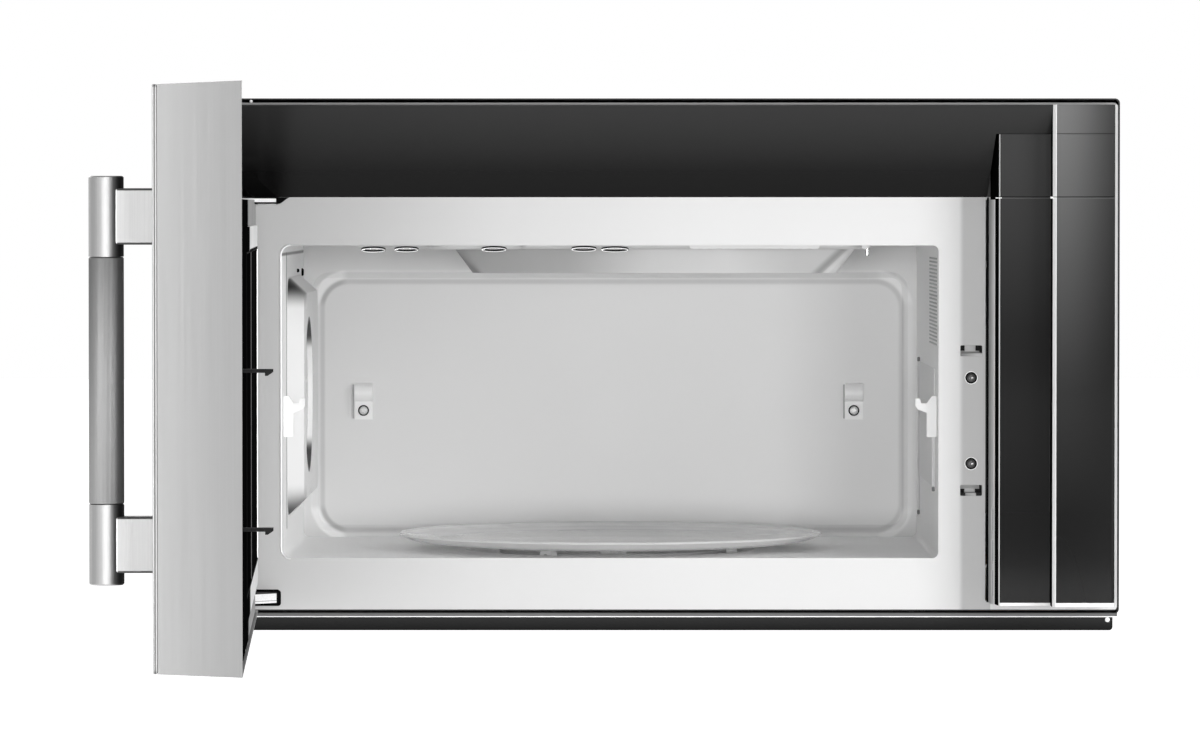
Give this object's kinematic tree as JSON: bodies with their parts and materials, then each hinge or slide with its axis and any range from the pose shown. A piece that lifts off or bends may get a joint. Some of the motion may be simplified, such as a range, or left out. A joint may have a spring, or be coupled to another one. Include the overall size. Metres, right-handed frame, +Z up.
{
  "type": "over the range microwave",
  "caption": "Over the range microwave with convection cavity, glass turntable and full height stainless door, shown with the door open",
  "frame": {"origin": "on the wall face of the cabinet, at the middle of its bottom edge", "axes": "X to the right seen from the front, Y into the wall, Z up"},
  "size_m": [0.7996, 1.1759, 0.4426],
  "materials": {
    "case": "satin",
    "plate": "satin",
    "enamel": "satin",
    "black_gloss": "gloss",
    "black_plastic": "matte",
    "stainless": "brushed",
    "steel": "satin",
    "zinc": "satin",
    "chrome": "polished",
    "aluminium": "satin",
    "grey_frame": "satin",
    "clear_glass": "clear",
    "dark_glass": "dark",
    "lamp_glass": "frosted",
    "grey_plastic": "matte",
    "white_plastic": "matte",
    "rubber": "matte",
    "copper_coil": "gloss",
    "board_green": "satin",
    "charcoal": "matte"
  },
  "bodies": {
    "cabinet": {"case_wrap": "case", "rear_panel": "zinc", "base_pan": "case", "front_lip": "plate", "front_plate": "plate", "vent_fascia": "black_gloss", "column_cover_low": "black_gloss", "column_cover_high": "black_gloss", "column_trim": "plate", "cavity_liner": "enamel", "cavity_back": "enamel", "convection_panel": "enamel", "ceiling_duct": "enamel", "grill_element": "chrome", "rack_supports": "chrome", "pan_screws": "chrome", "hinge_arm_upper": "steel", "hinge_arm_lower": "steel", "hinge_pins": "steel", "latch_board": "white_plastic", "door_switches": "black_plastic", "grease_filters": "aluminium", "lamp_lenses": "lamp_glass", "charcoal_filter": "charcoal", "blower_housing": "zinc", "blower_motor": "steel", "magnetron": "aluminium", "waveguide": "zinc", "power_transformer": "copper_coil", "capacitor": "aluminium", "control_board": "board_green", "table_motor": "zinc", "convection_can": "zinc", "convection_heater": "steel", "convection_motor": "steel", "cavity_lamp": "lamp_glass", "cord_grommet": "rubber"},
    "door": {"door_frame": "stainless", "door_skin": "stainless", "outer_window": "dark_glass", "control_glass": "dark_glass", "inner_frame": "grey_frame", "choke_cover": "black_plastic", "inner_window": "dark_glass", "hinge_blocks": "steel", "handle_bar": "stainless", "handle_grip": "stainless", "handle_brackets": "stainless"},
    "latch": {"latch_bar": "black_plastic", "latch_spring": "steel"},
    "turntable": {"glass_tray": "clear_glass", "tray_coupler": "white_plastic"},
    "ring": {"roller_ring": "grey_plastic"},
    "roller_one": {"roller_a": "white_plastic"},
    "roller_two": {"roller_b": "white_plastic"},
    "roller_three": {"roller_c": "white_plastic"},
    "blower": {"blower_wheels": "black_plastic"},
    "fan": {"convection_fan": "steel"},
    "damper": {"damper_flap": "zinc"}
  },
  "joints": [
    {"name": "door_hinge", "type": "hinge", "parent": "cabinet", "child": "door", "pos_m": [-0.358, -0.438, 0.19], "axis": [0, 0, 1], "range_deg": [-7.3, 87.7]},
    {"name": "latch_slide", "type": "slide", "parent": "door", "child": "latch", "axis": [0, 0, 1], "range_m": [0, 0.002], "stiffness_N_per_m": 400, "springref_m": -0.004, "deforming": ["latch_spring"]},
    {"name": "tray_spin", "type": "hinge", "parent": "cabinet", "child": "turntable", "pos_m": [-0.0415, -0.221, 0.06], "axis": [0, 0, 1], "continuous": true},
    {"name": "ring_spin", "type": "hinge", "parent": "cabinet", "child": "ring", "pos_m": [-0.0415, -0.221, 0.056], "axis": [0, 0, 1], "continuous": true},
    {"name": "roller_one_spin", "type": "hinge", "parent": "ring", "child": "roller_one", "pos_m": [0.0625, -0.221, 0.0563], "axis": [1, 0, 0], "continuous": true},
    {"name": "roller_two_spin", "type": "hinge", "parent": "ring", "child": "roller_two", "pos_m": [-0.0935, -0.13093, 0.0563], "axis": [-0.5, 0.866, 0], "continuous": true},
    {"name": "roller_three_spin", "type": "hinge", "parent": "ring", "child": "roller_three", "pos_m": [-0.0935, -0.31107, 0.0563], "axis": [-0.5, -0.866, 0], "continuous": true},
    {"name": "blower_spin", "type": "hinge", "parent": "cabinet", "child": "blower", "pos_m": [0, -0.075, 0.3694], "axis": [1, 0, 0], "continuous": true},
    {"name": "fan_spin", "type": "hinge", "parent": "cabinet", "child": "fan", "pos_m": [-0.335, -0.217, 0.19], "axis": [1, 0, 0], "continuous": true},
    {"name": "damper_swing", "type": "hinge", "parent": "cabinet", "child": "damper", "pos_m": [0, -0.0419, 0.4326], "axis": [-1, 0, 0], "range_deg": [0, 70]}
  ],
  "couplings": [
    {"joint": "ring_spin", "follows": "tray_spin", "ratio": 0.5},
    {"joint": "roller_one_spin", "follows": "tray_spin", "ratio": -8.6667},
    {"joint": "roller_two_spin", "follows": "tray_spin", "ratio": -8.6667},
    {"joint": "roller_three_spin", "follows": "tray_spin", "ratio": -8.6667}
  ]
}
